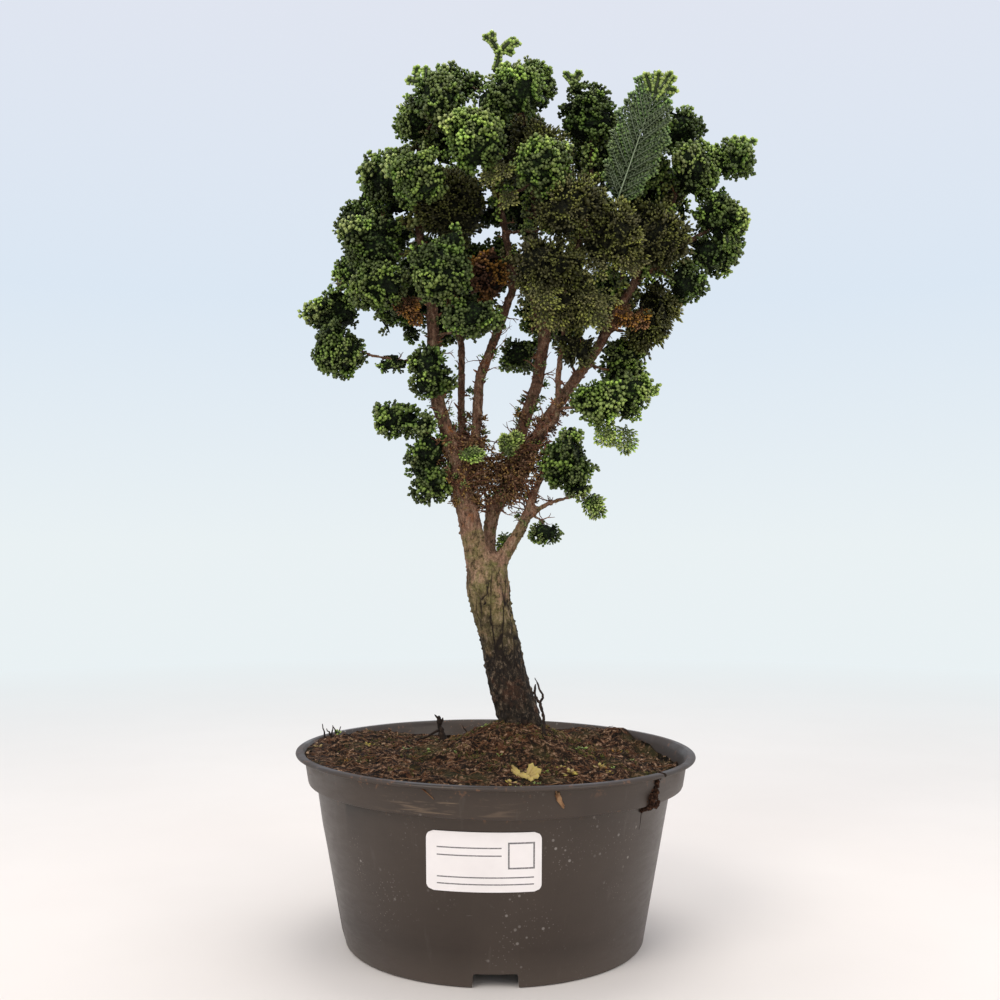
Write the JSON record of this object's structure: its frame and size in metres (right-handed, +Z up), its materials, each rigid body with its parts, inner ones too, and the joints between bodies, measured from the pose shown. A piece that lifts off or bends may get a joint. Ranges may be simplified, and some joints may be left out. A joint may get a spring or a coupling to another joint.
{
  "type": "hinoki cypress bonsai",
  "caption": "Small hinoki cypress bonsai with a bare leaning trunk, upswept limbs and a broad crown of dense fan-like sprays, rooted in peat in a round dark plastic nursery pot",
  "frame": {"origin": "middle of the pot's flat underside", "axes": "+Z up along the pot's axis, -Y towards the front with the label, +X to the right seen from the front"},
  "size_m": [0.2298, 0.189, 0.4399],
  "materials": {
    "plastic": "satin, scuffed",
    "soil": "rough, crumbly peat with moss",
    "bark": "rough bark",
    "dead_wood": "rough, dark",
    "label": "satin",
    "shed_leaf": "matt",
    "foliage_blue": "matt",
    "foliage_dry": "matt, dead",
    "foliage_bright": "satin",
    "foliage_olive": "matt",
    "foliage_green": "satin"
  },
  "bodies": {
    "root": {"clump_back_left": "foliage_green", "clump_back_low": "foliage_green", "clump_back_low_right": "foliage_green", "clump_back_middle": "foliage_green", "clump_back_right": "foliage_green", "clump_back_top": "foliage_green", "clump_back_top_right": "foliage_green", "clump_back_upper": "foliage_green", "clump_back_upper_right": "foliage_green", "clump_behind_gap": "foliage_green", "clump_branchlet": "foliage_green", "clump_bright_mid": "foliage_bright", "clump_centre": "foliage_olive", "clump_centre_left": "foliage_olive", "clump_centre_low": "foliage_olive", "clump_centre_right": "foliage_olive", "clump_dry_centre": "foliage_dry", "clump_far_left": "foliage_green", "clump_flat_spray": "foliage_blue", "clump_fork_right": "foliage_green", "clump_hanging_lower": "foliage_olive", "clump_hanging_upper": "foliage_olive", "clump_inner_left": "foliage_olive", "clump_inner_mid": "foliage_olive", "clump_left_edge": "foliage_green", "clump_left_edge_high": "foliage_green", "clump_left_front": "foliage_bright", "clump_left_low": "foliage_green", "clump_left_mid": "foliage_green", "clump_left_upper": "foliage_green", "clump_limb_a": "foliage_green", "clump_low_left": "foliage_green", "clump_lower_left": "foliage_green", "clump_lower_right": "foliage_bright", "clump_mid_bright": "foliage_bright", "clump_right_dark": "foliage_green", "clump_right_edge": "foliage_green", "clump_right_high": "foliage_green", "clump_right_inner": "foliage_olive", "clump_right_low": "foliage_green", "clump_right_middle": "foliage_green", "clump_right_shoulder": "foliage_green", "clump_right_tip": "foliage_bright", "clump_right_top": "foliage_green", "clump_thin_limb": "foliage_olive", "clump_top_bright": "foliage_bright", "clump_top_front": "foliage_green", "clump_top_left": "foliage_green", "clump_top_right": "foliage_green", "clump_top_row": "foliage_green", "clump_top_sprig": "foliage_bright", "clump_under_fork": "foliage_green", "clump_under_right": "foliage_olive", "dead_stub": "dead_wood", "fallen_spray": "shed_leaf", "label": "label", "pot": "plastic", "soil": "soil", "trunk": "bark"}
  },
  "joints": []
}
